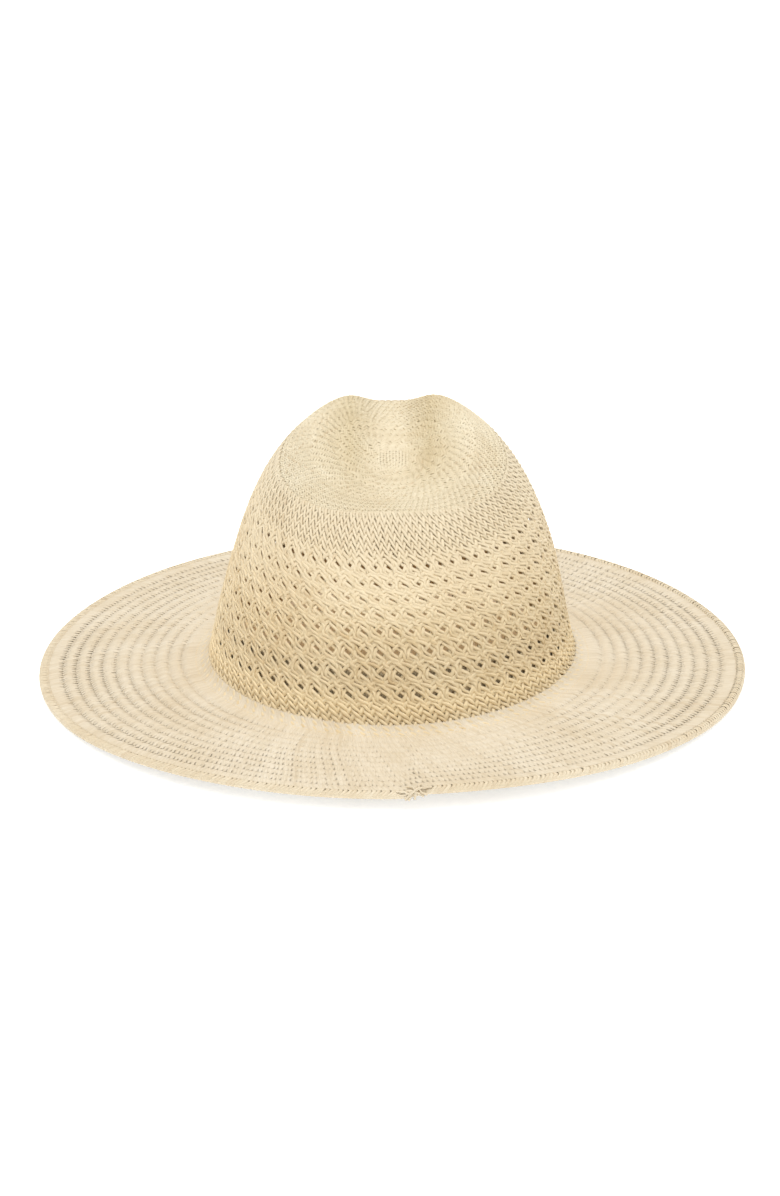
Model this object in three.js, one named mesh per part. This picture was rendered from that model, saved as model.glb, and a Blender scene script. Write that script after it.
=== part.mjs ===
// Panama hat: a creased straw hood with an openwork side, a wide flat brim, and the fittings
// sewn inside it.
//
// Units are millimetres. The origin is at the bottom centre of the hat as it stands on its brim.
// +Z is up, the front of the hat (the narrow end of its crease) faces -Y and +X is its width.
import * as THREE from "three";

// ---- driving dimensions -------------------------------------------------------------------

const segments = 72;                 // facets round the hat
const bands = 4;                     // facets across each layer of the hood
const gap = 0.3;                     // clearance between neighbouring pieces

// The plan of the hat is an oval: every ring is this much longer than wide, counted from its centre.
const ovalExtra = 13.5;
const brimOvalExtra = 9.5;

// crown
const strawThickness = 1.8;
const footHalfWidth = 87.5;          // outer face of the crown where its wall starts
const footRadius = 8;                // bend between the crown's wall and the brim
const brimTop = 6.6;                 // upper face of the brim at the bend
const crownHeight = 115.5;           // tip above the brim, before the crease and the lean
const wallTaper = 22.5;              // how much narrower the wall would be at the tip's height
const sideRoundness = 4.1;           // exponent of the crown's profile: higher is squarer
const planRoundness = 2.9;
const lean = 0.28;                   // fall of the tip from front to back, mm per mm
const leanStart = 0.3;               // share of the height at which the lean sets in

// teardrop crease in the tip
const creaseDepth = 16.5;
const creaseFront = { y: -62, blend: 18, halfWidth: 16 };
const creaseBack = { y: 40, blend: 26, halfWidth: 31 };
const creaseRoundness = 2.4;
const creaseLevels = { start: 0.35, full: 0.8 };
const pinch = { y: -60, reach: 26, share: 0.1 };

// the openwork reaches higher at the back than at the sides; levels are shares of the height
const openworkBottom = 0.035;
const openworkTop = 0.7;
const openworkBackRise = 0.07;

// brim
const brimHalfWidth = 171;           // to the outside of the rolled edge
const edgeWidth = 5;
const edgeHeight = 3.4;
const edgeBevel = 1.2;
const edgeRise = { back: 5, front: 2 };   // how far the edge stands off the table
const edgeFlatShare = 0.3;           // the sides lie flat up to this sine of the angle
const brimCurve = 1.3;

// sweatband and what is sewn to it
const bandThickness = 0.9;
const bandBottom = 6.5;
const bandTop = 36;
const pipingRadius = 1.3;
const pipingHalfWidth = 87.1;
const pipingHeight = 6.6;
const threadRadius = 0.3;
const threadHeight = 9.5;
const threadWave = 0.15;
const threadWaves = 36;
const tape = { halfWidth: 7, bottom: 11.5, top: 35, thickness: 0.5 };
const hem = { halfWidth: 11, bottom: 31.3, top: 35.2, thickness: 0.6 };
const label = { width: 24, height: 22, thickness: 0.6, corner: 2, top: 30.7, y: 91.9 };

// knot of straw ends on the edge, at the back
const knotRadius = 0.9;
const knotSize = { x: 2.6, y: 1.5, z: 1.28 };
const knotAngle = 93;                // degrees round from +X

const straw = "#e6d3ab";
const tipStraw = "#ead9b4";
const brimStraw = "#efe2c6";
const footStraw = "#e2cb9c";
const ribbon = "#d9c6a0";
const threadColour = "#cbb98f";
const labelColour = "#f4f1ea";

// ---- the shape of the hood ----------------------------------------------------------------

const wallStart = brimTop + footRadius;
const wallHeight = crownHeight - footRadius;

function smooth(low, high, value) {
  const share = Math.min(1, Math.max(0, (value - low) / (high - low)));
  return share * share * (3 - 2 * share);
}

function ring(halfWidth, extra, theta, z) {
  return new THREE.Vector3(halfWidth * Math.cos(theta), (halfWidth + extra) * Math.sin(theta), z);
}

// How deep the crease is at a place seen from above. It is widest at the back.
function creaseAt(x, y) {
  const toBack = smooth(creaseFront.y, creaseBack.y, y);
  const halfWidth = creaseFront.halfWidth + (creaseBack.halfWidth - creaseFront.halfWidth) * toBack;
  const frontEnd = smooth(creaseFront.y - creaseFront.blend, creaseFront.y + creaseFront.blend, y);
  const backEnd = 1 - smooth(creaseBack.y - creaseBack.blend, creaseBack.y + creaseBack.blend, y);
  return creaseDepth * Math.exp(-((Math.abs(x) / halfWidth) ** creaseRoundness)) * frontEnd * backEnd;
}

// Crown surface. level is 0 at the foot of the wall and 1 at the tip; inset moves it inwards.
function crownPoint(level, theta, inset) {
  const spread = (1 - level ** sideRoundness) ** (1 / planRoundness);
  const halfWidth = footHalfWidth - wallTaper * level - inset;
  const point = ring(halfWidth * spread, ovalExtra * spread, theta, 0);
  point.z = wallStart + (wallHeight - inset) * level;
  point.z -= lean * point.y * smooth(leanStart, 1, level);
  point.z -= creaseAt(point.x, point.y) * smooth(creaseLevels.start, creaseLevels.full, level);
  const pinched = Math.exp(-(((point.y - pinch.y) / pinch.reach) ** 2)) * smooth(leanStart, 1, level);
  point.x *= 1 - pinch.share * pinched;
  return point;
}

// The bend from the wall out to the brim; turn runs from 0 at the wall to 1 at the brim.
function bendPoint(turn, theta, inset) {
  const angle = (turn * Math.PI) / 2;
  const radius = footRadius + inset;
  const halfWidth = footHalfWidth + footRadius - radius * Math.cos(angle);
  return ring(halfWidth, ovalExtra, theta, wallStart - radius * Math.sin(angle));
}

function edgeLift(theta) {
  const rise = Math.sin(theta) > 0 ? edgeRise.back : edgeRise.front;
  return rise * smooth(edgeFlatShare, 1, Math.abs(Math.sin(theta)));
}

// Brim surface. share runs from 0 at the bend to 1 at the rolled edge; inset moves it down.
function brimPoint(share, theta, inset) {
  const inner = footHalfWidth + footRadius + gap;
  const outer = brimHalfWidth - edgeWidth - gap;
  const extra = ovalExtra + (brimOvalExtra - ovalExtra) * share;
  const edgeTop = (edgeHeight + strawThickness) / 2 + edgeLift(theta);
  const z = brimTop + (edgeTop - brimTop) * share ** brimCurve;
  return ring(inner + (outer - inner) * share, extra, theta, z - inset);
}

// Inner side of the crown's wall, straight down below the start of the bend.
function insidePoint(z, theta, inset) {
  const level = Math.max(0, (z - wallStart) / wallHeight);
  const spread = (1 - level ** sideRoundness) ** (1 / planRoundness);
  return ring((footHalfWidth - wallTaper * level) * spread - inset, ovalExtra * spread, theta, z);
}

// ---- solids -------------------------------------------------------------------------------

function solid(points, triangles) {
  const geometry = new THREE.BufferGeometry();
  const positions = points.flatMap((point) => [point.x, point.y, point.z]);
  geometry.setAttribute("position", new THREE.Float32BufferAttribute(positions, 3));
  geometry.setIndex(triangles);
  geometry.computeVertexNormals();
  return geometry;
}

// A ring whose cross-section is the closed outline sectionAt(theta), listed anticlockwise when
// seen with the outside of the hat on the right.
function closedRing(sectionAt, count = segments) {
  const points = [];
  const triangles = [];
  const size = sectionAt(0).length;
  for (let step = 0; step < count; step += 1) {
    points.push(...sectionAt((step / count) * 2 * Math.PI));
  }
  for (let step = 0; step < count; step += 1) {
    const here = step * size;
    const next = ((step + 1) % count) * size;
    for (let corner = 0; corner < size; corner += 1) {
      const after = (corner + 1) % size;
      triangles.push(here + corner, next + corner, next + after);
      triangles.push(here + corner, next + after, here + after);
    }
  }
  return solid(points, triangles);
}

// Outline of a layer: its outer face from bottom to top, then its inner face back down.
function layer(outerFace, innerFace) {
  return [...outerFace, ...innerFace.slice().reverse()];
}

function steps(from, to, count) {
  return Array.from({ length: count + 1 }, (_, index) => from + ((to - from) * index) / count);
}

// A strip that follows the inside of the crown's wall at its back, from one inset to another.
function backStrip(halfWidth, bottom, top, nearInset, farInset) {
  const slices = 6;
  const centre = Math.PI / 2;
  const reach = Math.asin(halfWidth / footHalfWidth);
  const points = steps(centre - reach, centre + reach, slices).flatMap((theta) => [
    insidePoint(bottom, theta, nearInset),
    insidePoint(top, theta, nearInset),
    insidePoint(top, theta, farInset),
    insidePoint(bottom, theta, farInset),
  ]);
  const triangles = [];
  for (let slice = 0; slice < slices; slice += 1) {
    const here = slice * 4;
    for (let corner = 0; corner < 4; corner += 1) {
      const after = (corner + 1) % 4;
      triangles.push(here + corner, here + 4 + corner, here + 4 + after);
      triangles.push(here + corner, here + 4 + after, here + after);
    }
  }
  const last = slices * 4;
  triangles.push(0, 1, 2, 0, 2, 3);
  triangles.push(last, last + 2, last + 1, last, last + 3, last + 2);
  return solid(points, triangles);
}

// ---- pieces of the hood -------------------------------------------------------------------

function openworkTopLevel(theta) {
  return openworkTop + openworkBackRise * Math.max(0, Math.sin(theta)) ** 2;
}

// The finely woven tip: a dome with a crease, open below.
function crownTip() {
  const rings = 12;
  const packing = 0.8;               // brings the outer rings closer to one another
  const seam = gap / wallHeight;
  const points = [];
  const triangles = [];
  const faces = [0, strawThickness];
  for (const inset of faces) {
    points.push(crownPoint(1, 0, inset));
    for (let ringIndex = 1; ringIndex <= rings; ringIndex += 1) {
      for (let step = 0; step < segments; step += 1) {
        const theta = (step / segments) * 2 * Math.PI;
        const lowest = openworkTopLevel(theta) + seam;
        const share = (ringIndex / rings) ** packing;
        const angle = share * Math.acos(lowest ** (sideRoundness / 2));
        points.push(crownPoint(Math.cos(angle) ** (2 / sideRoundness), theta, inset));
      }
    }
  }
  const faceSize = 1 + rings * segments;
  const at = (face, ringIndex, step) => face * faceSize + 1 + (ringIndex - 1) * segments + (step % segments);
  for (let step = 0; step < segments; step += 1) {
    triangles.push(0, at(0, 1, step), at(0, 1, step + 1));
    triangles.push(faceSize, at(1, 1, step + 1), at(1, 1, step));
    for (let r = 1; r < rings; r += 1) {
      triangles.push(at(0, r, step), at(0, r + 1, step), at(0, r + 1, step + 1));
      triangles.push(at(0, r, step), at(0, r + 1, step + 1), at(0, r, step + 1));
      triangles.push(at(1, r, step), at(1, r + 1, step + 1), at(1, r + 1, step));
      triangles.push(at(1, r, step), at(1, r, step + 1), at(1, r + 1, step + 1));
    }
    triangles.push(at(0, rings, step), at(1, rings, step), at(1, rings, step + 1));
    triangles.push(at(0, rings, step), at(1, rings, step + 1), at(0, rings, step + 1));
  }
  return solid(points, triangles);
}

function crownOpenwork() {
  return closedRing((theta) => {
    const levels = steps(openworkBottom, openworkTopLevel(theta), bands);
    return layer(
      levels.map((level) => crownPoint(level, theta, 0)),
      levels.map((level) => crownPoint(level, theta, strawThickness)),
    );
  });
}

// Tight rows under the openwork and the bend that turns out into the brim.
function crownFoot() {
  const top = openworkBottom - gap / wallHeight;
  const turns = steps(1, 0, bands);
  return closedRing((theta) => layer(
    [...turns.map((turn) => bendPoint(turn, theta, 0)), crownPoint(top, theta, 0)],
    [...turns.map((turn) => bendPoint(turn, theta, strawThickness)), crownPoint(top, theta, strawThickness)],
  ));
}

function brim() {
  const shares = steps(1, 0, bands);
  return closedRing((theta) => layer(
    shares.map((share) => brimPoint(share, theta, 0)),
    shares.map((share) => brimPoint(share, theta, strawThickness)),
  ));
}

// Rolled and back-woven edge, with a flat underside that the hat rests on.
function brimEdge() {
  const flat = edgeWidth / 2 - edgeBevel;
  const outline = [
    [-flat, 0], [flat, 0],
    [edgeWidth / 2, edgeBevel], [edgeWidth / 2, edgeHeight - edgeBevel],
    [flat, edgeHeight], [-flat, edgeHeight],
    [-edgeWidth / 2, edgeHeight - edgeBevel], [-edgeWidth / 2, edgeBevel],
  ];
  const centre = brimHalfWidth - edgeWidth / 2;
  return closedRing((theta) => outline.map(([out, up]) => (
    ring(centre + out, brimOvalExtra, theta, up + edgeLift(theta))
  )));
}

// Ends of the edge's last straws, tied in an overhand knot that sits on the rolled edge.
class KnotCurve extends THREE.Curve {
  getPoint(share) {
    const turn = share * 2 * Math.PI;
    return new THREE.Vector3(
      knotSize.x * (Math.sin(turn) + 2 * Math.sin(2 * turn)),
      knotSize.y * (Math.cos(turn) - 2 * Math.cos(2 * turn)),
      -knotSize.z * Math.sin(3 * turn),
    );
  }
}

function edgeKnot() {
  const theta = THREE.MathUtils.degToRad(knotAngle);
  const inside = brimHalfWidth - edgeWidth - 2 * knotSize.y;
  const geometry = new THREE.TubeGeometry(new KnotCurve(), 48, knotRadius, 5, true);
  const place = ring(inside, brimOvalExtra, theta, 0);
  const top = edgeHeight + edgeRise.back + knotSize.z + knotRadius + gap;
  return geometry.translate(place.x, place.y, top);
}

// ---- pieces sewn inside -------------------------------------------------------------------

const bandInset = strawThickness + gap;
const bandFace = bandInset + bandThickness;

function sweatband() {
  const heights = [bandBottom, wallStart, bandTop];
  return closedRing((theta) => layer(
    heights.map((z) => insidePoint(z, theta, bandInset)),
    heights.map((z) => insidePoint(z, theta, bandFace)),
  ));
}

// Corded piping in the corner between the sweatband's lower edge and the bend.
function piping() {
  const corners = 6;
  return closedRing((theta) => steps(0, 1, corners).slice(0, corners).map((share) => {
    const turn = share * 2 * Math.PI;
    const halfWidth = pipingHalfWidth + pipingRadius * Math.cos(turn);
    return ring(halfWidth, ovalExtra, theta, pipingHeight + pipingRadius * Math.sin(turn));
  }));
}

// Sewing thread that holds the sweatband's lower edge to the piping.
function stitching() {
  const corners = 4;
  const inset = bandFace + gap + threadRadius + threadWave;
  return closedRing((theta) => steps(0, 1, corners).slice(0, corners).map((share) => {
    const turn = share * 2 * Math.PI;
    const wave = threadWave * Math.cos(threadWaves * theta);
    const height = threadHeight + threadRadius * Math.sin(turn);
    return insidePoint(height, theta, inset + wave - threadRadius * Math.cos(turn));
  }));
}

function jointTape() {
  const near = bandFace + gap;
  return backStrip(tape.halfWidth, tape.bottom, tape.top, near, near + tape.thickness);
}

function labelHem() {
  const near = bandFace + 2 * gap + tape.thickness;
  return backStrip(hem.halfWidth, hem.bottom, hem.top, near, near + hem.thickness);
}

// Cloth label that hangs from its hem and swings inwards about its top edge.
function labelFlap() {
  const right = label.width / 2;
  const arcX = right - label.corner;
  const arcY = -label.height + label.corner;
  const quarter = Math.PI / 2;
  const shape = new THREE.Shape();
  shape.moveTo(-right, 0);
  shape.lineTo(right, 0);
  shape.lineTo(right, arcY);
  shape.absarc(arcX, arcY, label.corner, 0, -quarter, true);
  shape.lineTo(-arcX, -label.height);
  shape.absarc(-arcX, arcY, label.corner, -quarter, -2 * quarter, true);
  shape.lineTo(-right, 0);
  const flap = new THREE.ExtrudeGeometry(shape, {
    depth: label.thickness, bevelEnabled: false, curveSegments: 4,
  });
  flap.rotateX(Math.PI / 2);
  return flap.translate(0, label.y + label.thickness / 2, label.top);
}

// ---- assembly -----------------------------------------------------------------------------

const group = new THREE.Group();
group.name = "panama_hat";

function add(name, geometry, color, roughness) {
  const material = new THREE.MeshStandardMaterial({ color, roughness, metalness: 0 });
  const mesh = new THREE.Mesh(geometry, material);
  mesh.name = name;
  group.add(mesh);
}

add("crown_tip", crownTip(), tipStraw, 0.75);
add("crown_openwork", crownOpenwork(), straw, 0.8);
add("crown_foot", crownFoot(), footStraw, 0.8);
add("brim", brim(), brimStraw, 0.75);
add("brim_edge", brimEdge(), brimStraw, 0.75);
add("edge_knot", edgeKnot(), straw, 0.8);
add("sweatband", sweatband(), ribbon, 0.9);
add("piping", piping(), ribbon, 0.85);
add("stitching", stitching(), threadColour, 0.8);
add("joint_tape", jointTape(), ribbon, 0.9);
add("label_hem", labelHem(), labelColour, 0.85);
add("label_flap", labelFlap(), labelColour, 0.85);

export default group;
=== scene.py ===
"""Panama hat, seen from behind and above: a woven straw hood with an openwork crown, and its
sweatband and label inside. Metres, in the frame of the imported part."""

import math

import bpy
import numpy as np
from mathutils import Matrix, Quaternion, Vector


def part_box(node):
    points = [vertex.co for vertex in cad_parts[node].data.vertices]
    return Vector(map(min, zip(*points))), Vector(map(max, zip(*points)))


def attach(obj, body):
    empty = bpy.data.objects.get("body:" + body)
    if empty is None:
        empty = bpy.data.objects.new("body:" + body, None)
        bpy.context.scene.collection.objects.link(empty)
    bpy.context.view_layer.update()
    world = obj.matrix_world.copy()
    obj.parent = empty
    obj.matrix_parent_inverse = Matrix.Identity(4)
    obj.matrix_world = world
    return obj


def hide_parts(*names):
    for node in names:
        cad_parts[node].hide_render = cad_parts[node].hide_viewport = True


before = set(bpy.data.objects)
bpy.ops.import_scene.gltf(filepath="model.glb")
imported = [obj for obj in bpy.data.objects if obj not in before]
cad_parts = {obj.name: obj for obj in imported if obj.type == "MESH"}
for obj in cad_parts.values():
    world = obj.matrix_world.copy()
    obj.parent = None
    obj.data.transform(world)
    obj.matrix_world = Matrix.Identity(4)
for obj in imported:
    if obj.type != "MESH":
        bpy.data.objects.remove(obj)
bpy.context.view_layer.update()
random = np.random.default_rng(7)
MM = 0.001
TURN = 2 * math.pi

# ---- shape of the hood, as in the part -------------------------------------------------------

OVAL_EXTRA = 13.5 * MM             # every ring of the crown is this much longer than wide
BRIM_OVAL_EXTRA = 9.5 * MM
STRAW = 1.8 * MM                   # thickness of the hood
FOOT_HALF_WIDTH = 87.5 * MM
FOOT_RADIUS = 8 * MM
BRIM_TOP = 6.6 * MM
CROWN_HEIGHT = 115.5 * MM
WALL_TAPER = 22.5 * MM
SIDE_ROUNDNESS = 4.1
PLAN_ROUNDNESS = 2.9
LEAN = 0.28
LEAN_START = 0.3
CREASE_DEPTH = 16.5 * MM
CREASE_ROUNDNESS = 2.4
CREASE_FRONT, CREASE_FRONT_BLEND, CREASE_FRONT_HALF = -62 * MM, 18 * MM, 16 * MM
CREASE_BACK, CREASE_BACK_BLEND, CREASE_BACK_HALF = 40 * MM, 26 * MM, 31 * MM
CREASE_START, CREASE_FULL = 0.35, 0.8
PINCH_PLACE, PINCH_REACH, PINCH_SHARE = -60 * MM, 26 * MM, 0.1
EDGE_WIDTH = 5 * MM
EDGE_HEIGHT = 3.4 * MM
EDGE_RISE_BACK, EDGE_RISE_FRONT = 5 * MM, 2 * MM
EDGE_FLAT_SHARE = 0.3
KINK = 1.8 * MM                    # the edge is bent up this much beside its knot
SWAY = 1.4 * MM                    # the top of the crown sits this much to one side
SWAY_LEVELS = 0.05, 0.5
BRIM_CURVE = 1.3
BRIM_HALF_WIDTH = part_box("brim_edge")[1].x

WALL_START = BRIM_TOP + FOOT_RADIUS
WALL_HEIGHT = CROWN_HEIGHT - FOOT_RADIUS
BEND_LEVELS = FOOT_RADIUS * math.pi / 2 / WALL_HEIGHT    # the bend's length as a share of the wall
KNOT_ANGLE = math.radians(93)

# ---- weave ----------------------------------------------------------------------------------

COLUMNS = 66                       # holes round the crown
ROWS = 8                           # rows of holes
SLANTS = 4 / 3, -2 / 3             # columns that each family of straws moves on per row
TIGHT_ROWS = 1.7                   # rows without holes above them, in the same straws
FOOT_ROWS = 1.5                    # and below them, over the bend
OPENWORK_BOTTOM = 0.035            # share of the wall's height
OPENWORK_TOP = 0.70
OPENWORK_BACK_RISE = 0.07
SAMPLES = 10                       # places along a straw for each row of holes
OPENING = 1.08                     # how far the straws draw together beside a hole
SPECK = 1.0                        # and halfway between two rows of holes
WEAVE_DRIFT = 0.13                 # each row of holes starts this share of a column further round
# Rings of the tip, as (outer, inner, straws), in shares of the way from its centre.
TIP_RINGS = [(1.0, 0.6, 192), (0.62, 0.33, 120), (0.35, 0.13, 64), (0.14, 0.05, 30)]
TIP_REACH = 1.1                    # turn of the tip's spirals for each factor of e in radius
TIP_SWIRL = 0.3
TIP_ROWS = 14                      # faint ridges round the tip
BRIM_BANDS = 11                    # ridges across the brim
BRIM_STRAWS = 400
EDGE_WRAPS = 500


def smooth(low, high, value):
    share = np.clip((value - low) / (high - low), 0, 1)
    return share * share * (3 - 2 * share)


def ring(half_width, extra, theta, z):
    half_width, extra, theta, z = np.broadcast_arrays(half_width, extra, theta, z)
    x = half_width * np.cos(theta)
    y = (half_width + extra) * np.sin(theta)
    return np.stack([x, y, z], -1)


def crease(x, y):
    """Depth of the teardrop crease at a place seen from above."""
    to_back = smooth(CREASE_FRONT, CREASE_BACK, y)
    half = CREASE_FRONT_HALF + (CREASE_BACK_HALF - CREASE_FRONT_HALF) * to_back
    front_end = smooth(CREASE_FRONT - CREASE_FRONT_BLEND, CREASE_FRONT + CREASE_FRONT_BLEND, y)
    back_end = 1 - smooth(CREASE_BACK - CREASE_BACK_BLEND, CREASE_BACK + CREASE_BACK_BLEND, y)
    return CREASE_DEPTH * np.exp(-((np.abs(x) / half) ** CREASE_ROUNDNESS)) * front_end * back_end


def crown(angle, theta):
    """Crown surface. angle is 0 at the tip's centre and a quarter turn at the wall's foot."""
    level = np.clip(np.cos(angle), 0, 1) ** (2 / SIDE_ROUNDNESS)
    spread = np.sin(angle) ** (2 / PLAN_ROUNDNESS)
    half = (FOOT_HALF_WIDTH - WALL_TAPER * level) * spread
    point = ring(half, OVAL_EXTRA * spread, theta, WALL_START + WALL_HEIGHT * level)
    level = np.broadcast_to(level, point.shape[:-1])
    x, y, z = point[..., 0], point[..., 1], point[..., 2]
    z = z - LEAN * y * smooth(LEAN_START, 1, level)
    z = z - crease(x, y) * smooth(CREASE_START, CREASE_FULL, level)
    pinched = np.exp(-(((y - PINCH_PLACE) / PINCH_REACH) ** 2)) * smooth(LEAN_START, 1, level)
    x = x * (1 - PINCH_SHARE * pinched) - SWAY * smooth(*SWAY_LEVELS, level)
    return np.stack([x, y, z], -1)


def crown_at_level(level, theta):
    return crown(np.arccos(np.clip(level, 0, 1) ** (SIDE_ROUNDNESS / 2)), theta)


def bend(turn, theta, inset=0.0):
    """The bend from the wall (turn 0) out to the brim (turn 1)."""
    angle = turn * math.pi / 2
    radius = FOOT_RADIUS + inset
    half = FOOT_HALF_WIDTH + FOOT_RADIUS - radius * np.cos(angle)
    return ring(half, OVAL_EXTRA, theta, WALL_START - radius * np.sin(angle))


def edge_lift(theta):
    """How far the edge stands off the table. Beside the knot it is bent up a little more."""
    rise = np.where(np.sin(theta) > 0, EDGE_RISE_BACK, EDGE_RISE_FRONT)
    turned = np.degrees(theta) % 360
    kink = KINK * smooth(91, 95, turned) * (1 - smooth(100, 132, turned))
    return rise * smooth(EDGE_FLAT_SHARE, 1, np.abs(np.sin(theta))) + kink


def wall_and_bend(level, theta):
    """The wall, and below level 0 the bend, which ends where the brim starts."""
    wall = crown_at_level(np.clip(level, 0, 1), theta)
    turned = bend(np.clip(-level / BEND_LEVELS, 0, 1), theta)
    return np.where((level < 0)[..., None], turned, wall)


def brim(share, theta, inset=0.0):
    """Brim surface. share is 0 at the bend and 1 at the rolled edge."""
    inner = FOOT_HALF_WIDTH + FOOT_RADIUS
    outer = BRIM_HALF_WIDTH - EDGE_WIDTH
    extra = OVAL_EXTRA + (BRIM_OVAL_EXTRA - OVAL_EXTRA) * share
    edge_top = (EDGE_HEIGHT + STRAW) / 2 + edge_lift(theta)
    z = BRIM_TOP + (edge_top - BRIM_TOP) * np.clip(share, 0, 2) ** BRIM_CURVE
    return ring(inner + (outer - inner) * share, extra, theta, z - inset)


def with_normals(surface, u, theta):
    """Points of a surface and its normals, which face out and up."""
    step = 1e-3
    along = surface(u + step, theta) - surface(u - step, theta)
    around = surface(u, theta + step) - surface(u, theta - step)
    normal = np.cross(around, along)
    normal /= np.linalg.norm(normal, axis=-1, keepdims=True) + 1e-12
    away = ring(1.0, 0.0, theta, 1.5)
    normal = np.where(np.sum(normal * away, -1, keepdims=True) < 0, -normal, normal)
    return surface(u, theta), normal


# ---- mesh building --------------------------------------------------------------------------

def mesh_object(name, points, quads, uv, weave):
    """A smooth mesh from arrays of points and quads; weave is a vector kept on each point."""
    mesh = bpy.data.meshes.new(name)
    mesh.vertices.add(len(points))
    mesh.vertices.foreach_set("co", np.ascontiguousarray(points, np.float32).ravel())
    mesh.loops.add(quads.size)
    mesh.loops.foreach_set("vertex_index", quads.astype(np.int32).ravel())
    mesh.polygons.add(len(quads))
    mesh.polygons.foreach_set("loop_start", np.arange(0, quads.size, 4, dtype=np.int32))
    mesh.polygons.foreach_set("use_smooth", np.ones(len(quads), bool))
    mesh.update(calc_edges=True)
    layer = mesh.attributes.new("weave", "FLOAT_VECTOR", "POINT")
    layer.data.foreach_set("vector", np.ascontiguousarray(weave, np.float32).ravel())
    layer = mesh.uv_layers.new(name="OFBake")
    layer.data.foreach_set("uv", np.ascontiguousarray(uv, np.float32).ravel())
    mesh.validate()
    made = bpy.data.objects.new(name, mesh)
    bpy.context.collection.objects.link(made)
    return made


# Cross-section of a straw, as (across, up) in shares of its width and thickness.
PROFILE = np.array([[-0.5, 0.0], [-0.24, 1.0], [0.24, 1.0], [0.5, 0.0]])


def strands(name, paths, normals, width, thickness, closed=False):
    """Flat domed straws along many paths at once; paths and normals are (straws, steps, 3)."""
    count, steps, _ = paths.shape
    if closed:
        tangent = np.roll(paths, -1, 1) - np.roll(paths, 1, 1)
    else:
        tangent = np.gradient(paths, axis=1)
    side = np.cross(tangent, normals)
    side /= np.linalg.norm(side, axis=-1, keepdims=True) + 1e-12
    width = np.broadcast_to(width, (count, steps))[..., None]
    corners = len(PROFILE)
    rings = [paths + side * width * across + normals * thickness * up for across, up in PROFILE]
    points = np.stack(rings, 2)
    length = np.linalg.norm(np.diff(paths, axis=1), axis=-1).cumsum(1)
    length = np.concatenate([np.zeros((count, 1)), length], 1)
    tone = random.random((count, 1))
    weave = np.stack(np.broadcast_arrays(
        length[..., None], PROFILE[:, 0][None, None, :], tone[..., None]), -1)
    index = np.arange(count * steps * corners).reshape(count, steps, corners)
    here = index if closed else index[:, :-1]
    following = np.roll(index, -1, 1) if closed else index[:, 1:]
    quads = np.stack([here, following, np.roll(following, -1, 2), np.roll(here, -1, 2)], -1)
    flat_uv = strip_uv(count, quads.shape[1], corners)
    quads = quads.reshape(-1, 4)
    return mesh_object(name, points.reshape(-1, 3), quads, flat_uv, weave.reshape(-1, 3))


def strip_uv(count, steps, corners):
    """Flat layout with one strip a straw, stacked in columns, for baking."""
    columns = max(1, round(math.sqrt(count * corners / steps)))
    per_column = math.ceil(count / columns)
    strand, step, corner = np.meshgrid(
        np.arange(count), np.arange(steps), np.arange(corners), indexing="ij")
    column, row = strand // per_column, strand % per_column
    u0 = (column + 0.02 + 0.96 * step / steps) / columns
    u1 = (column + 0.02 + 0.96 * (step + 1) / steps) / columns
    v0 = (row + 0.05 + 0.9 * corner / corners) / per_column
    v1 = (row + 0.05 + 0.9 * (corner + 1) / corners) / per_column
    return np.stack([
        np.stack([u0, v0], -1), np.stack([u1, v0], -1),
        np.stack([u1, v1], -1), np.stack([u0, v1], -1)], -2).reshape(-1, 2)


def sheet_mesh(name, grid, closed=False, looped=False, weave=None):
    """A mesh through a (rows, columns, 3) grid: closed joins its last column to the first, and
    looped its last row. A looped sheet that isn't closed has its two faces joined at its sides."""
    rows, columns, _ = grid.shape
    weave = np.zeros(grid.shape) if weave is None else weave
    index = np.arange(rows * columns).reshape(rows, columns)
    if looped and not closed:
        for side in (0, -1):
            index[rows // 2:, side] = index[:rows // 2, side][::-1]
    if closed:
        index = np.concatenate([index, index[:, :1]], 1)
    if looped:
        index = np.concatenate([index, index[:1]], 0)
    quads = np.stack([index[:-1, :-1], index[:-1, 1:], index[1:, 1:], index[1:, :-1]], -1)
    rows, columns = quads.shape[:2]
    row, column = np.meshgrid(np.arange(rows), np.arange(columns), indexing="ij")
    uv = np.stack([
        np.stack([column, row], -1), np.stack([column + 1, row], -1),
        np.stack([column + 1, row + 1], -1), np.stack([column, row + 1], -1)], -2)
    uv = uv / np.array([columns, rows]) * 0.98 + 0.01
    points, weave = grid.reshape(-1, 3), weave.reshape(-1, 3)
    return mesh_object(name, points, quads.reshape(-1, 4), uv.reshape(-1, 2), weave)


# ---- materials ------------------------------------------------------------------------------

WHITE, BLACK = (1, 1, 1), (0, 0, 0)
# Colour of the painted shade on the walls of the tip's crease.
CREASE_PAINTED_SHADE = (0.86, 0.82, 0.72)


def new_material(name):
    material = bpy.data.materials.new(name)
    material.use_nodes = True
    tree = material.node_tree
    return material, tree, tree.nodes["Principled BSDF"]


def plug(tree, socket, value):
    if isinstance(value, bpy.types.NodeSocket):
        tree.links.new(value, socket)
    else:
        socket.default_value = value


def node(tree, kind, inputs=None, **settings):
    made = tree.nodes.new(kind)
    for key, value in settings.items():
        setattr(made, key, value)
    for key, value in (inputs or {}).items():
        plug(tree, made.inputs[key], value)
    return made


def ramp(tree, factor, stops):
    made = node(tree, "ShaderNodeValToRGB", {"Fac": factor})
    elements = made.color_ramp.elements
    while len(elements) < len(stops):
        elements.new(0.5)
    for element, (place, colour) in zip(elements, stops):
        element.position = place
        element.color = (*colour, 1)
    return made.outputs["Color"]


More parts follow.
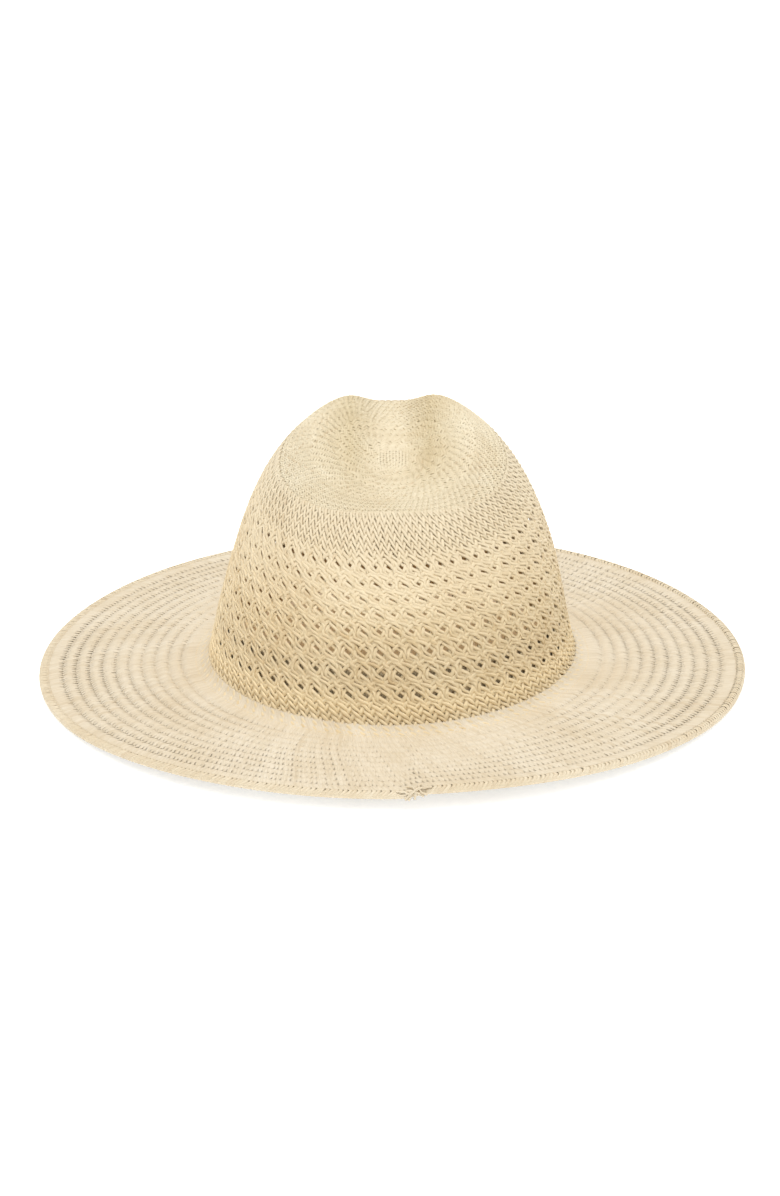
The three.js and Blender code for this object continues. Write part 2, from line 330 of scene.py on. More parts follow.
def tinted(tree, a, b, blend="MULTIPLY", factor=1.0):
    made = node(tree, "ShaderNodeMix", data_type="RGBA", blend_type=blend)
    plug(tree, made.inputs[0], factor)
    plug(tree, made.inputs[6], a)
    plug(tree, made.inputs[7], b)
    return made.outputs[2]


def noise(tree, vector, scale, detail=3.0, roughness=0.55):
    made = node(tree, "ShaderNodeTexNoise", {
        "Vector": vector, "Scale": scale, "Detail": detail, "Roughness": roughness})
    return made.outputs["Fac"]


def math_node(tree, operation, *values):
    return node(tree, "ShaderNodeMath", dict(enumerate(values)), operation=operation).outputs[0]


def thread_ridges(tree, place, pitch):
    """Height of round threads side by side, 0 between them and 1 on top."""
    turned = math_node(tree, "MULTIPLY", place, math.pi / pitch)
    return math_node(tree, "ABSOLUTE", math_node(tree, "SINE", turned))


def split(tree, vector):
    return node(tree, "ShaderNodeSeparateXYZ", {"Vector": vector}).outputs


def object_place(tree):
    return node(tree, "ShaderNodeTexCoord").outputs["Object"]


def weave_places(tree):
    """The vector that the mesh builders keep on each point, whole and split in three."""
    weave = node(tree, "ShaderNodeAttribute", attribute_name="weave").outputs["Vector"]
    return weave, split(tree, weave)


def mapped(tree, value, from_low, from_high, to_low, to_high):
    """A value moved from one range to another and clamped to it."""
    made = node(tree, "ShaderNodeMapRange", {
        "Value": value, "From Min": from_low, "From Max": from_high,
        "To Min": to_low, "To Max": to_high})
    return made.outputs["Result"]


def aged(tree, colour, place):
    """Large soft patches of a slightly darker tone."""
    patches = ramp(tree, noise(tree, place, 26.0), [(0.36, (0.94, 0.91, 0.86)), (0.62, WHITE)])
    return tinted(tree, colour, patches)


def finish_shader(tree, shader, colour, height, rough, strength, depth):
    """Colour, relief and uneven roughness onto the shader."""
    plug(tree, shader.inputs["Base Color"], colour)
    plug(tree, shader.inputs["Roughness"],
         mapped(tree, height, 0.0, 1.0, min(1.0, rough + 0.12), rough - 0.08))
    bump = node(tree, "ShaderNodeBump", {"Height": height, "Strength": strength, "Distance": depth})
    plug(tree, shader.inputs["Normal"], bump.outputs["Normal"])


def let_light_through(tree, shader, colour, share):
    thin = node(tree, "ShaderNodeBsdfTranslucent", {"Color": colour})
    mixed = node(tree, "ShaderNodeMixShader", {
        0: share, 1: shader.outputs["BSDF"], 2: thin.outputs["BSDF"]})
    plug(tree, tree.nodes["Material Output"].inputs["Surface"], mixed.outputs[0])


def straw_material(name, light, dark, brown, foot_warm_shade_paint=0.0, pale_top=0.0):
    """Split straw: each one has its own tone, fine fibres run along it, and light glows through.
    foot_warm_shade_paint is how far a painted warm shade tints the straw at the crown's foot, and
    pale_top how far the tone shifts at its top."""
    material, tree, shader = new_material(name)
    weave, (_, _, tone) = weave_places(tree)
    place = object_place(tree)
    stretched = node(tree, "ShaderNodeVectorMath", {0: weave, 1: (110, 7, 300)}, operation="MULTIPLY")
    fibres = noise(tree, stretched.outputs[0], 1.0)
    colour = ramp(tree, tone, [(0.0, brown), (0.04, dark), (0.5, light), (1.0, light)])
    streaks = ramp(tree, fibres, [(0.32, (0.86, 0.83, 0.77)), (0.6, WHITE)])
    colour = aged(tree, tinted(tree, colour, streaks), place)
    height = split(tree, place)["Z"]
    # Painted warm shade of the fold at the crown's foot: strongest about 15 mm up, gone by 10 and 30
    # mm.
    low = mapped(tree, height, 0.0, 0.03, 0.0, 1.0)
    foot = ramp(tree, low, [(0.35, BLACK), (0.5, [foot_warm_shade_paint] * 3), (1.0, BLACK)])
    colour = tinted(tree, colour, (0.97, 0.80, 0.51, 1), "MIX", foot)
    top = mapped(tree, height, 0.05, 0.105, 0.0, pale_top)
    colour = tinted(tree, colour, (0.73, 0.675, 0.56, 1), "MIX", top)
    finish_shader(tree, shader, colour, fibres, 0.58, 0.35, 0.4 * MM)
    shader.inputs["Specular IOR Level"].default_value = 0.35
    let_light_through(tree, shader, colour, 0.16)
    return material


def paint_crease_shade(material):
    """Darken the straw along both sides of the crease, the hollow pressed into the tip, with painted
    shade that fades out towards the back.
    """
    tree = material.node_tree
    base = tree.nodes["Principled BSDF"].inputs["Base Color"]
    x, y, _ = split(tree, object_place(tree))
    share = mapped(tree, math_node(tree, "ABSOLUTE", x), 0.0, 0.05, 0.0, 1.0)
    crease_shade = ramp(tree, share, [(0.1, WHITE), (0.38, CREASE_PAINTED_SHADE), (0.75, WHITE)])
    to_back = mapped(tree, y, 0.0, 0.045, 1.0, 0.0)
    plug(tree, base, tinted(tree, base.links[0].from_socket, crease_shade, factor=to_back))


def woven_material(name, light, gap_shade_colour):
    """Straws in both directions, two over and two under, as colour and relief, with painted shade in
    the gaps between them.
    """
    material, tree, shader = new_material(name)
    _, (first, second, _) = weave_places(tree)
    total = math_node(tree, "ADD", *(math_node(tree, "FLOOR", count) for count in (first, second)))
    over = math_node(tree, "GREATER_THAN", math_node(tree, "FLOORED_MODULO", total, 4.0), 1.5)
    height = node(tree, "ShaderNodeMix", {
        "Factor": over, "A": thread_ridges(tree, first, 1.0),
        "B": thread_ridges(tree, second, 1.0)}).outputs["Result"]
    # Painted shade: the low places between the threads take the darker gap colour.
    colour = aged(tree, ramp(tree, height, [(0.1, gap_shade_colour), (0.55, light)]), object_place(tree))
    finish_shader(tree, shader, colour, height, 0.62, 0.6, 0.6 * MM)
    let_light_through(tree, shader, colour, 0.15)
    return material


def cloth_material(name, light, shadow, rib, weft, strength):
    """Woven cloth: ribs of one pitch and finer threads across them, with fuzz."""
    material, tree, shader = new_material(name)
    _, (along, up, _) = weave_places(tree)
    place = object_place(tree)
    fuzz = noise(tree, place, 1400.0, 4.0)
    ribs, threads = thread_ridges(tree, along, rib), thread_ridges(tree, up, weft)
    relief = math_node(tree, "MULTIPLY_ADD", threads, 0.35, ribs)
    relief = math_node(tree, "MULTIPLY_ADD", fuzz, 0.3, relief)
    colour = ramp(tree, ribs, [(0.05, shadow), (0.5, light)])
    speckle = ramp(tree, fuzz, [(0.3, (0.86, 0.86, 0.86)), (0.65, WHITE)])
    age = ramp(tree, noise(tree, place, 60.0), [(0.35, (0.95, 0.94, 0.92)), (0.6, WHITE)])
    colour = tinted(tree, tinted(tree, colour, speckle), age)
    finish_shader(tree, shader, colour, relief, 0.85, strength, 0.5 * MM)
    shader.inputs["Sheen Weight"].default_value = 0.08
    return material


CROWN_STRAW = straw_material(
    "crown straw", (0.835, 0.70, 0.47), (0.79, 0.645, 0.41), (0.71, 0.55, 0.325), 0.75, 0.5)
TIP_STRAW = straw_material(
    "tip straw", (0.825, 0.745, 0.575), (0.785, 0.695, 0.52), (0.71, 0.595, 0.42))
# Painted shade along the walls of the tip's crease.
paint_crease_shade(TIP_STRAW)
FOOT_STRAW = straw_material(
    "foot straw", (0.82, 0.7, 0.49), (0.78, 0.65, 0.44), (0.70, 0.56, 0.36))
BRIM_STRAW = straw_material(
    "brim straw", (0.765, 0.68, 0.54), (0.735, 0.645, 0.5), (0.71, 0.61, 0.46))
EDGE_STRAW = straw_material(
    "edge straw", (0.80, 0.705, 0.54), (0.765, 0.66, 0.495), (0.71, 0.595, 0.43))
BACKING = woven_material("straw backing", (0.78, 0.67, 0.47), (0.58, 0.46, 0.29))
RIBBON = cloth_material(
    "grosgrain ribbon", (0.76, 0.6, 0.37), (0.55, 0.41, 0.23), 1.1 * MM, 0.5 * MM, 0.5)
THREAD = cloth_material(
    "cotton thread", (0.6, 0.5, 0.33), (0.45, 0.36, 0.22), 0.6 * MM, 0.4 * MM, 0.5)
LABEL = cloth_material(
    "label satin", (0.86, 0.83, 0.76), (0.78, 0.75, 0.68), 0.4 * MM, 0.4 * MM, 0.3)


def finished(piece, material, body, slot, *nodes):
    """Give a piece its material and body, and let it stand for its nodes of the part. Its slot is not
    used.
    """
    piece.data.materials.append(material)
    if nodes:
        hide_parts(*nodes)
    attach(piece, body)
    return piece


# ---- openwork side of the crown -----------------------------------------------------------

def openwork_level(row, theta):
    """Level on the wall of a place counted in rows of holes down from the openwork's top."""
    top = OPENWORK_TOP + OPENWORK_BACK_RISE * np.clip(np.sin(theta), 0, 1) ** 2
    return top + (OPENWORK_BOTTOM - top) * row / ROWS


def openwork_family(name, slant, hold, over, width, lift):
    """Slanting straws in threes that draw apart at every row of holes, in a two-by-two twill.
    hold is how nearly upright they run beside a hole, over is 1 or -1 for the two families, and
    lift in millimetres sets one family a little above the other."""
    count = COLUMNS * 3
    other_slant = SLANTS[1] if slant == SLANTS[0] else SLANTS[0]
    samples = int((ROWS + TIGHT_ROWS + FOOT_ROWS) * SAMPLES)
    rows = np.linspace(-TIGHT_ROWS, ROWS + FOOT_ROWS, samples)[None, :]
    in_holes = (1 - smooth(ROWS - 0.2, ROWS + 0.2, rows)) * smooth(-0.2, 0.2, rows)
    start = (np.arange(count)[:, None] + 0.5) / 3
    steady = rows - 0.5
    place = start + slant * (steady - hold * in_holes * np.sin(TURN * steady) / TURN)
    opening = OPENING * in_holes * (0.5 + 0.5 * np.cos(TURN * steady))
    speck = SPECK * in_holes * (0.5 - 0.5 * np.cos(TURN * steady)) ** 3
    drawn = opening * np.sin(TURN * place) + speck * np.sin(TURN * (place + 1 / 3))
    moved = place + drawn / TURN + WEAVE_DRIFT * rows + random.normal(0, 0.018, (count, 1))
    theta = TURN * moved / COLUMNS
    crossings = 3 * (slant - other_slant) * (rows - 0.5)
    wave = over * np.cos(TURN * (2 * np.arange(count)[:, None] + crossings) / 4 + math.pi / 4)
    level = openwork_level(rows, theta)
    points, normals = with_normals(wall_and_bend, level, theta)
    height = (lift + (0.48 - 0.12 * in_holes) * wave) * MM - 0.6 * MM
    # The tight rows at the top are a little finer.
    spread = 0.84 + 0.16 * smooth(-0.2, 0.2, rows)
    width = width * spread * (1 + random.normal(0, 0.07, (count, 1)))
    return strands(name, points + normals * height[..., None], normals, width, 0.5 * MM)


finished(openwork_family("openwork_slanting_straws", SLANTS[0], 0.5, 1, 1.9 * MM, 0.1),
         CROWN_STRAW, "hat", "openwork_straw", "crown_openwork")
finished(openwork_family("openwork_steep_straws", SLANTS[1], 0.65, -1, 2.3 * MM, -0.1),
         CROWN_STRAW, "hat", "openwork_straw", "crown_openwork")


# ---- tip of the crown ---------------------------------------------------------------------

def tip_surface(share, theta):
    """The tip, from its centre (share 0) to where the coarser straws start (share 1)."""
    top = openwork_level(0.15 - TIGHT_ROWS, theta)
    edge = np.arccos(top ** (SIDE_ROUNDNESS / 2))
    return crown(share * edge, theta)


def tip_family(name, outer, inner, count, direction):
    """Spiral straws of one ring of the tip, in a two-by-two twill."""
    reach = TIP_REACH * math.log(outer / inner)
    crossings = 2 * reach * count / TURN
    steps = max(12, int(crossings * 1.6))
    share = np.geomspace(outer, inner, steps)[None, :]
    strand = np.arange(count)[:, None]
    turned = TIP_REACH * np.log(outer / share)
    start = TURN * (strand + random.normal(0, 0.06, (count, 1))) / count
    theta = start + direction * turned + TIP_SWIRL * turned
    phase = 2 * strand + direction * turned * 2 * count / TURN
    wave = direction * np.cos(TURN * phase / 4 + math.pi / 4)
    points, normals = with_normals(tip_surface, share, theta)
    ridge = np.cos(TURN * TIP_ROWS * share)
    height = ((0.18 + 0.24 * share) * wave + 0.2 * ridge - 0.65) * MM
    around = np.linalg.norm(points[..., :2], axis=-1) * TURN / count
    return strands(name, points + normals * height[..., None], normals, around * 0.72, 0.42 * MM)


for number, (outer, inner, count) in enumerate(TIP_RINGS, 1):
    for side, direction in (("left", 1), ("right", -1)):
        finished(tip_family(f"tip_straws_{number}_{side}", outer, inner, count, direction),
                 TIP_STRAW, "hat", "tip_straw", "crown_tip")


def tip_centre(name, across):
    """Straight crossed straws at the very middle, where the weaving began."""
    count, steps, reach = 12, 26, 0.15
    line = reach * np.linspace(-0.97, 0.97, count)[:, None]
    run = np.sqrt(reach ** 2 - line ** 2) * np.linspace(-1, 1, steps)[None, :]
    line = np.broadcast_to(line, run.shape)
    crossings = (run / reach + 1) * count / 2
    weave = np.cos(math.pi * (np.arange(count)[:, None] + crossings)) * (1 if across else -1)
    a, b = (run, line) if across else (line, run)
    share = (np.sqrt(a ** 2 + b ** 2) + 1e-4) ** (PLAN_ROUNDNESS / 2)
    points, normals = with_normals(tip_surface, share, np.arctan2(b, a))
    height = (0.14 * weave - 0.5) * MM
    return strands(name, points + normals * height[..., None], normals, 1.6 * MM, 0.4 * MM)


for across in (False, True):
    finished(tip_centre(f"tip_centre_straws_{1 + across}", across),
             TIP_STRAW, "hat", "tip_straw", "crown_tip")


# ---- foot of the crown and brim -------------------------------------------------------------

def rope(name, centre_at, lay, radius, thickness, twist):
    """Straws twined round one another in a ring; centre_at(theta) gives points and normals. lay is
    the angle at which they start and twist the length of one turn."""
    straws, samples, wobble = 2, 7, 0.06
    points, _ = centre_at(np.linspace(0, TURN, 721)[:-1])
    length = np.linalg.norm(np.roll(points, -1, 0) - points, axis=-1).sum()
    turns = round(length / twist)
    theta = np.linspace(0, TURN, turns * samples + 1)[:-1]
    points, normals = centre_at(theta)
    tangent = np.roll(points, -1, 0) - np.roll(points, 1, 0)
    tangent /= np.linalg.norm(tangent, axis=-1, keepdims=True)
    side = np.cross(tangent, normals)
    drift = wobble * np.sin(5 * theta + lay) * radius
    paths, outs = [], []
    for number in range(straws):
        angle = turns * theta + TURN * number / straws + lay
        out = side * np.cos(angle)[:, None] + normals * np.sin(angle)[:, None]
        paths.append(points + out * radius + side * drift[:, None])
        outs.append(out * 0.35 + normals)
    normals = np.stack(outs)
    normals /= np.linalg.norm(normals, axis=-1, keepdims=True)
    return strands(name, np.stack(paths), normals, thickness * 1.9, thickness, closed=True)


def brim_at(share, inset):
    return lambda theta: with_normals(lambda u, t: brim(u, t, inset), np.full_like(theta, share), theta)


def bend_at(turn, inset):
    return lambda theta: with_normals(lambda u, t: bend(u, t, inset), np.full_like(theta, turn), theta)


def foot_and_brim(run, theta):
    """One surface from the crown's foot (run -1) round the bend (0) and out over the brim (1)."""
    wall = crown_at_level(np.clip(-run - 0.5, 0, 0.5) * 0.1, theta)    # up to level 0.05
    turned = bend(np.clip((run + 0.5) * 2, 0, 1), theta)
    flat = brim(np.clip(run, 0, 1.02), theta)
    run = np.broadcast_to(run, wall.shape[:-1])[..., None]
    return np.where(run < -0.5, wall, np.where(run < 0, turned, flat))


def brim_straws(name, slant, inset, under):
    """Straws that run out over the brim, tucked under a twined row at every band. under is true
    for those of the brim's lower face."""
    count = BRIM_STRAWS
    foot = np.linspace(-0.3, 0, 5)[:-1]
    out = np.append(np.linspace(0, 1, BRIM_BANDS * 5 + 1), 1.03)
    run = np.concatenate([foot, out])[None, :]
    theta = TURN * (np.arange(count)[:, None] + random.normal(0, 0.07, (count, 1))) / count
    theta = theta + slant * np.clip(run, -1, 1) + 0.004 * np.sin(9 * run + 7 * theta)
    points, normals = with_normals(foot_and_brim, run, theta)
    half_band = 0.5 / BRIM_BANDS
    band = np.abs(np.sin(math.pi * np.clip(run, half_band, 1 - half_band) * BRIM_BANDS))
    puff = np.where(run > half_band, band ** 0.9, 0.8)
    uneven = random.uniform(-0.05, 0.05, (count, 1))
    relief = 0.5 + 0.42 * np.abs(np.cos(theta))    # pressed flatter at the back and the front
    height = (relief * (puff - 0.5) + uneven + 0.1) * MM * (-1 if under else 1) - inset
    around = np.linalg.norm(points[..., :2], axis=-1) * TURN / count
    width = around * 1.95 * (1 + random.normal(0, 0.08, (count, 1)))
    facing = -normals if under else normals
    return strands(name, points + normals * height[..., None], facing, width, 0.24 * MM)


finished(brim_straws("brim_upper_straws", 0.16, 0.35 * MM, False),
         BRIM_STRAW, "hat", "brim_straw", "brim")
finished(brim_straws("brim_lower_straws", -0.16, 1.2 * MM, True),
         BRIM_STRAW, "hat", "brim_straw", "brim", "crown_foot")

for band in range(1, BRIM_BANDS + 1):
    row = rope(f"brim_row_{band}", brim_at(band / BRIM_BANDS - 0.004, 1.3 * MM), band,
               0.28 * MM, 0.5 * MM, 5.2 * MM)
    finished(row, BRIM_STRAW, "hat", "brim_straw", "brim")
finished(rope("bend_row", bend_at(0.97, 0.7 * MM), 0.5, 0.5 * MM, 0.6 * MM, 4.6 * MM),
         FOOT_STRAW, "hat", "foot_straw", "crown_foot")


# ---- rolled edge and its knot ---------------------------------------------------------------

def edge_point(turn, theta, size):
    """Surface of the rolled edge. turn goes once round its cross-section; size 1 is its outside."""
    centre = BRIM_HALF_WIDTH - EDGE_WIDTH / 2
    out = size * EDGE_WIDTH / 2 * np.cos(turn)
    up = size * EDGE_HEIGHT / 2 * np.sin(turn)
    return ring(centre + out, BRIM_OVAL_EXTRA, theta, EDGE_HEIGHT / 2 + up + edge_lift(theta))


def edge_wraps():
    """Straws bent back round the rolled edge, lying a little on the slant."""
    turn = np.linspace(0, TURN, 15)[:-1][None, :]
    place = np.arange(EDGE_WRAPS)[:, None] + random.normal(0, 0.07, (EDGE_WRAPS, 1))
    theta = TURN * place / EDGE_WRAPS + 0.012 * np.sin(turn)
    around = TURN * (BRIM_HALF_WIDTH + EDGE_WIDTH) / EDGE_WRAPS
    points = edge_point(turn, theta, 0.84)
    normals = edge_point(turn, theta, 1.0) - points
    normals /= np.linalg.norm(normals, axis=-1, keepdims=True)
    lift = random.uniform(0, 0.08, (EDGE_WRAPS, 1, 1)) * MM
    width = around * 1.08
    return strands("edge_wraps", points + normals * lift, normals, width, 0.42 * MM, closed=True)


def edge_core():
    turn, theta = np.meshgrid(
        np.linspace(0, TURN, 9)[:-1], np.linspace(0, TURN, 289)[:-1], indexing="ij")
    return sheet_mesh("edge_core", edge_point(turn, theta, 0.8), closed=True, looped=True)


finished(edge_core(), EDGE_STRAW, "hat", "edge_straw", "brim_edge")
finished(edge_wraps(), EDGE_STRAW, "hat", "edge_straw", "brim_edge")


def knot_straw(name, points, width):
    """One loose straw end through a few places given as (along the edge, out, up) in millimetres."""
    steps = 14
    share = np.linspace(0, 1, steps)
    places = np.array(points, float)
    key = np.linspace(0, 1, len(places))
    along, out, up = (np.interp(share, key, places[:, axis]) * MM for axis in range(3))
    theta = KNOT_ANGLE + along / (BRIM_HALF_WIDTH + BRIM_OVAL_EXTRA)
    centre = BRIM_HALF_WIDTH - EDGE_WIDTH / 2
    path = ring(centre + out, BRIM_OVAL_EXTRA, theta, EDGE_HEIGHT / 2 + edge_lift(theta) + up)[None]
    facing = ring(1.0, 0.0, theta, 1.0)[None]
    facing = facing / np.linalg.norm(facing, axis=-1, keepdims=True)
    return strands(name, path, facing, width, 0.45 * MM)


KNOT_ENDS = [
    ([(-6, 1.5, 1.5), (-2, 2.4, 2.4), (2, 3.2, 0.5), (5, 3.4, -1.6)], 1.3 * MM),
    ([(6, 1.6, 1.6), (2, 2.6, 2.6), (-2, 3.4, 0.4), (-4, 3.6, -1.5)], 1.2 * MM),
    ([(-3, -1.5, 2.6), (0, 1.2, 3.0), (1, 3.0, 1.2), (0.5, 3.8, -2.2)], 1.2 * MM),
    ([(4, -1.2, 2.5), (2.5, 1.4, 3.1), (3.5, 3.2, 0.6), (6.5, 3.6, -0.9)], 1.1 * MM),
    ([(-8, 1.2, 2.0), (-4, 2.6, 2.0), (-1, 3.2, 0.0), (-2.5, 3.9, -1.9)], 1.1 * MM),
    ([(9, 1.3, 2.0), (5, 2.3, 2.4), (0, 2.9, 1.6), (-7, 2.6, 0.2)], 1.0 * MM),
]
for number, (points, width) in enumerate(KNOT_ENDS, 1):
    finished(knot_straw(f"knot_straw_{number}", points, width),
             EDGE_STRAW, "hat", "edge_straw", "edge_knot")


# ---- tight cloth of straw behind the tip, the foot and the brim ----------------------------

def backing(name, surface, runs, inset, thickness, straws, slope):
    """A thin closed layer that follows a surface, with the counts of its weave kept on it."""
    theta = np.linspace(0, TURN, 217)
    run, theta = np.meshgrid(runs, theta[:-1], indexing="ij")
    points, normals = with_normals(surface, run, theta)
    outer = points - normals * inset
    inner = points - normals * (inset + thickness)
    grid = np.concatenate([outer, inner[::-1]])
    runs_again = np.concatenate([run, run[::-1]])
    thetas = np.concatenate([theta, theta[::-1]])
    first = straws * (thetas / TURN + slope * runs_again)
    second = straws * (thetas / TURN - slope * runs_again)
    weave = np.stack([first, second, np.zeros_like(first)], -1)
    return sheet_mesh(name, grid, closed=True, looped=True, weave=weave)


TIP_RUNS = np.linspace(0.003, 0.985, 40)
finished(backing("tip_lining", tip_surface, TIP_RUNS, 1.0 * MM, 0.3 * MM, 160, 0.35),
         BACKING, "hat", "tip_straw", "crown_tip")
FOOT_RUNS = np.concatenate([np.linspace(-0.97, 0, 12), np.linspace(0, 0.99, 34)[1:]])
finished(backing("brim_lining", foot_and_brim, FOOT_RUNS, 0.8 * MM, 0.3 * MM, 400, 0.12),
         BACKING, "hat", "brim_straw", "brim", "crown_foot")


# ---- sewn inside -----------------------------------------------------------------------------

BAND_INSET, BAND_THICKNESS = 2.1 * MM, 0.9 * MM
BAND_BOTTOM, BAND_TOP = 6.5 * MM, 36 * MM


def inside(z, theta, inset):
    """Inner side of the crown's wall, straight down below the start of the bend."""
    level = np.clip((z - WALL_START) / WALL_HEIGHT, 0, 1)
    spread = (1 - level ** SIDE_ROUNDNESS) ** (1 / PLAN_ROUNDNESS)
    return ring((FOOT_HALF_WIDTH - WALL_TAPER * level) * spread - inset, OVAL_EXTRA * spread, theta, z)


def strip(name, first, last, columns, bottom, top, inset, thickness, wave=0.0, closed=False):
    """Cloth that follows the inside of the wall: two faces that meet along all its sides."""
    rows = np.array([0, 0.02, 0.1, 0.25, 0.5, 0.75, 0.9, 0.98, 1])
    angles = np.linspace(first, last, columns)
    z, theta = np.meshgrid(bottom + (top - bottom) * rows, angles, indexing="ij")
    if closed:
        z, theta = z[:, :-1], theta[:, :-1]
    from_edge = np.minimum(rows, 1 - rows)[:, None] / 0.02
    from_side = np.linspace(-1, 1, theta.shape[1])[None, :]
    half = thickness / 2 * np.clip(from_edge, 0.25, 1)
    if not closed:
        half = half * np.clip((1 - np.abs(from_side)) * 40, 0, 1)
    middle = inset + thickness / 2 + wave * np.sin(9 * theta + 2 * z / MM)
    near, far = inside(z, theta, middle - half), inside(z, theta, middle + half)
    grid = np.concatenate([near, far[::-1]])
    along = np.concatenate([theta, theta[::-1]]) * FOOT_HALF_WIDTH
    up = np.concatenate([z, z[::-1]])
    weave = np.stack([along, up, np.zeros_like(up)], -1)
    return sheet_mesh(name, grid, closed=closed, looped=True, weave=weave)


def at_back(half_width):
    """First and last angle of a strip of this half width at the middle of the back."""
    reach = math.asin(half_width / FOOT_HALF_WIDTH)
    return math.pi / 2 - reach, math.pi / 2 + reach


sweatband = finished(
    strip("sweatband_ribbon", 0, TURN, 361, BAND_BOTTOM, BAND_TOP, BAND_INSET, BAND_THICKNESS,
          0.1 * MM, True),
    RIBBON, "hat", "band_ribbon", "sweatband")
tape = finished(
    strip("joint_tape_ribbon", *at_back(7 * MM), 15, 11.5 * MM, 35 * MM, 3.3 * MM, 0.5 * MM),
    RIBBON, "hat", "band_ribbon", "joint_tape")
hem = finished(
    strip("label_hem_cloth", *at_back(11 * MM), 21, 31.3 * MM, 35.2 * MM, 4.1 * MM, 0.6 * MM),
    LABEL, "hat", "label_cloth", "label_hem")


def piping():
    turn, theta = np.meshgrid(
        np.linspace(0, TURN, 11)[:-1], np.linspace(0, TURN, 361)[:-1], indexing="ij")
    half = 87.1 * MM + 1.3 * MM * np.cos(turn)
    grid = ring(half, OVAL_EXTRA, theta, 6.6 * MM + 1.3 * MM * np.sin(turn))
    weave = np.stack([theta * 87 * MM + turn * 0.3 * MM, turn * 1.3 * MM, np.zeros_like(turn)], -1)
    return sheet_mesh("piping_cord", grid, closed=True, looped=True, weave=weave)


def stitches(name, count, first, last, z, inset, share=0.7):
    """Straight stitches in a row, each one sunk at both ends."""
    step = (last - first) / count
    start = first + step * np.arange(count)[:, None]
    run = np.linspace(0, 1, 7)[None, :]
    theta = start + step * share * run
    sunk = 0.5 * MM * (1 - np.sin(math.pi * run)) ** 2
    path = inside(z + 0 * theta, theta, inset - sunk)
    facing = -ring(1.0, 0.0, theta, 0.0)
    return strands(name, path, facing, 0.5 * MM, 0.3 * MM)


finished(piping(), RIBBON, "hat", "band_ribbon", "piping")
seam = finished(stitches("band_stitches", 140, 0, TURN, 9.5 * MM, 3.1 * MM),
                THREAD, "hat", "thread", "stitching")
hem_seam = finished(stitches("hem_stitches", 8, *at_back(9.5 * MM), 33.2 * MM, 4.75 * MM),
                    THREAD, "hat", "thread")


def label_flap():
    """The label's cloth, hanging from its hem, with two rounded corners and a slight wave."""
    low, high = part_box("label_flap")
    corner, thickness = 2 * MM, 0.5 * MM
    rows = np.linspace(0, 1, 25)
    z = low.z + (high.z - low.z) * rows
    above = np.clip(corner - (z - low.z), 0, corner)
    half = (high.x - low.x) / 2 - (corner - np.sqrt(corner ** 2 - above ** 2))
    across = np.linspace(-1, 1, 27)
    x = half[:, None] * across[None, :]
    z = np.broadcast_to(z[:, None], x.shape)
    y = (low.y + high.y) / 2 + 0.12 * MM * np.sin(7 * across)[None, :] * (1 - rows)[:, None]
    depth = thickness / 2 * np.clip((1 - np.abs(across)) * 14, 0, 1)[None, :]
    depth = depth * np.clip(np.minimum(rows, 1 - rows) * 25, 0.2, 1)[:, None]
    near, far = np.stack([x, y - depth, z], -1), np.stack([x, y + depth, z], -1)
    grid = np.concatenate([near, far[::-1]])
    weave = np.stack([grid[..., 0], grid[..., 2], 0 * grid[..., 0]], -1)
    return sheet_mesh("label_flap_cloth", grid, looped=True, weave=weave)


flap = finished(label_flap(), LABEL, "label", "label_cloth", "label_flap")


# ---- floor, light and camera ------------------------------------------------------------------

FLOOR_GLOW = 0.6
SKY = 0.84
CAMERA_DISTANCE = 2.209
CAMERA_HEIGHT = math.radians(21)
CAMERA_ROLL = math.radians(-0.6)
CAMERA_AIM = Vector((0.0007, 0, 0.0354))
CAMERA_LENS = 136.8


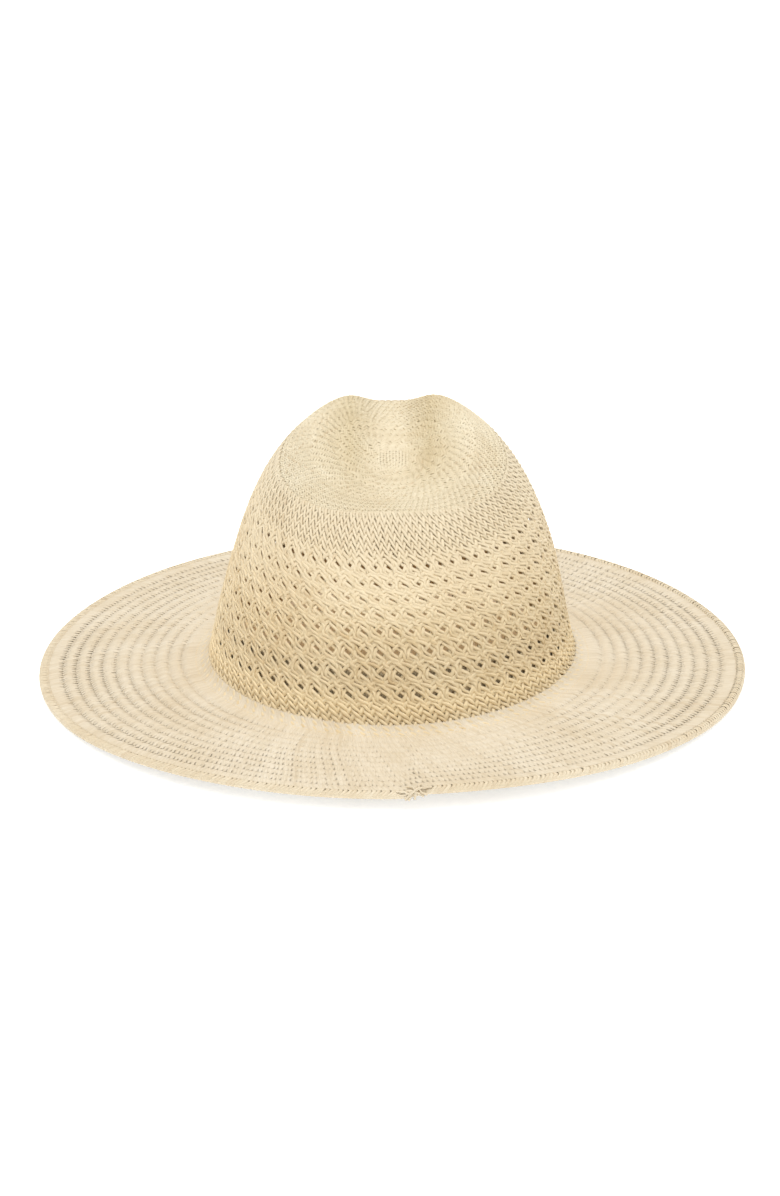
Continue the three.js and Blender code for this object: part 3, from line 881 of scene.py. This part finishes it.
def floor():
    """White paper that glows a little, and less right under the hat, with painted warm light under the
    crown, seen through its holes, and a painted cool shadow round the brim's edge.
    """
    half, cells, drop = 6.0, 24, 0.2 * MM
    axis = np.linspace(-half, half, cells + 1)
    x, y = np.meshgrid(axis, axis)
    made = sheet_mesh("floor", np.stack([x, y, np.full_like(x, -drop)], -1))
    material, tree, shader = new_material("studio paper")
    place = object_place(tree)
    tint = ramp(tree, noise(tree, place, 5.0), [(0.3, (0.93, 0.93, 0.93)), (0.7, (0.95, 0.95, 0.95))])
    distance = node(tree, "ShaderNodeVectorMath", {0: place}, operation="LENGTH").outputs["Value"]
    # Painted light and shadow: a warm glow under the crown, a cool blue shadow tint round the brim's
    # edge, white further out.
    floor_glow_and_shadow_paint = ramp(tree, distance, [(0.09, (1.0, 0.66, 0.33)), (0.15, (0.82, 0.9, 1.0)), (0.26, WHITE)])
    plug(tree, shader.inputs["Base Color"], tint)
    plug(tree, shader.inputs["Emission Color"], floor_glow_and_shadow_paint)
    # Painted shadow: the glow is dimmer under the hat and out to just past the brim's edge.
    plug(tree, shader.inputs["Emission Strength"], mapped(tree, distance, 0.09, 0.21, 0.25, FLOOR_GLOW))
    shader.inputs["Roughness"].default_value = 0.9
    shader.inputs["Specular IOR Level"].default_value = 0.1
    made.data.materials.append(material)


def area_light(name, place, size, power):
    data = bpy.data.lights.new(name, "AREA")
    data.shape = "DISK"
    data.size = size
    data.energy = power
    lamp = bpy.data.objects.new(name, data)
    lamp.location = place
    lamp.rotation_euler = (Vector(place) - Vector((0, 0, 0.05))).to_track_quat("Z", "Y").to_euler()
    bpy.context.collection.objects.link(lamp)


def sky():
    world = bpy.data.worlds.new("studio")
    world.use_nodes = True
    background = world.node_tree.nodes["Background"]
    background.inputs["Color"].default_value = (1.0, 0.99, 0.97, 1)
    background.inputs["Strength"].default_value = SKY
    bpy.context.scene.world = world


def add_camera():
    data = bpy.data.cameras.new("camera")
    data.lens = CAMERA_LENS
    camera = bpy.data.objects.new("camera", data)
    across, up = math.cos(CAMERA_HEIGHT), math.sin(CAMERA_HEIGHT)
    camera.location = (0, CAMERA_DISTANCE * across, CAMERA_DISTANCE * up)
    facing = (CAMERA_AIM - camera.location).to_track_quat("-Z", "Y")
    camera.rotation_euler = (facing @ Quaternion((0, 0, 1), CAMERA_ROLL)).to_euler()
    bpy.context.collection.objects.link(camera)
    bpy.context.scene.camera = camera


floor()
area_light("overhead", (0.0, 0.15, 2.2), 0.7, 33)
sky()
add_camera()
bpy.context.scene.view_settings.view_transform = "Standard"
